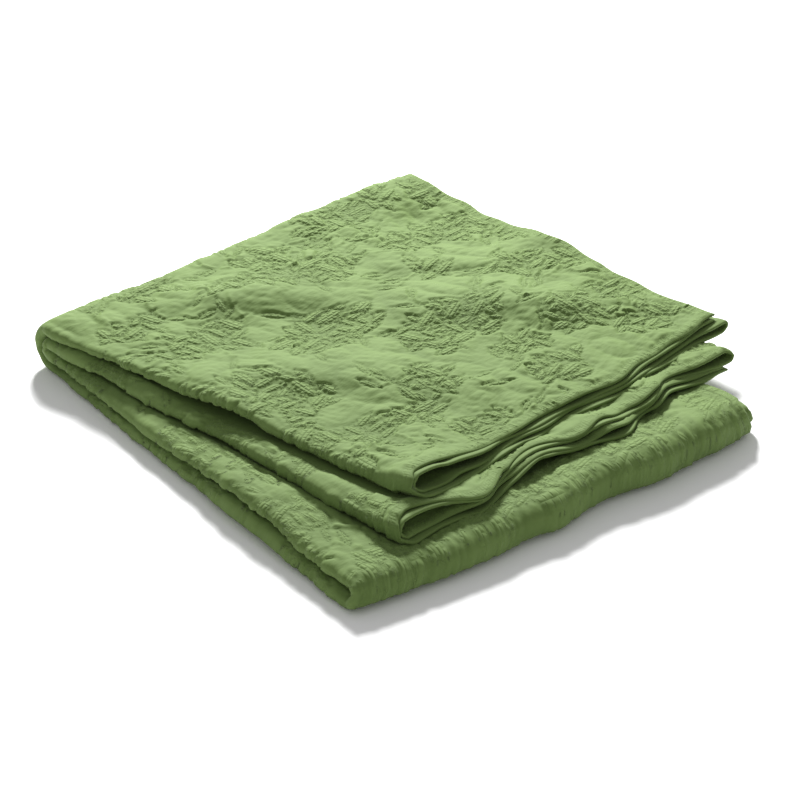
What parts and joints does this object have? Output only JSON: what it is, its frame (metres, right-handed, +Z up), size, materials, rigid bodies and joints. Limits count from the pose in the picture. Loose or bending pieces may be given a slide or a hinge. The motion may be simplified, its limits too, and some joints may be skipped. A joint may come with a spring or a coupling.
{
  "type": "duvet cover",
  "caption": "Green puckered cotton duvet cover, folded in quarters both ways, its folds fanned out a little at the front corner and its hems showing along one side.",
  "frame": {"origin": "middle of the stack's plan, on the surface it rests on", "axes": "+Z up through the layers, +X along the side with the hems towards the closed folds' far end, +Y along the side with the folded edges"},
  "size_m": [0.6524, 0.6532, 0.0745],
  "materials": {
    "cotton": "matt puckered cotton"
  },
  "bodies": {
    "root": {"folded_cover": "cotton"}
  },
  "joints": []
}
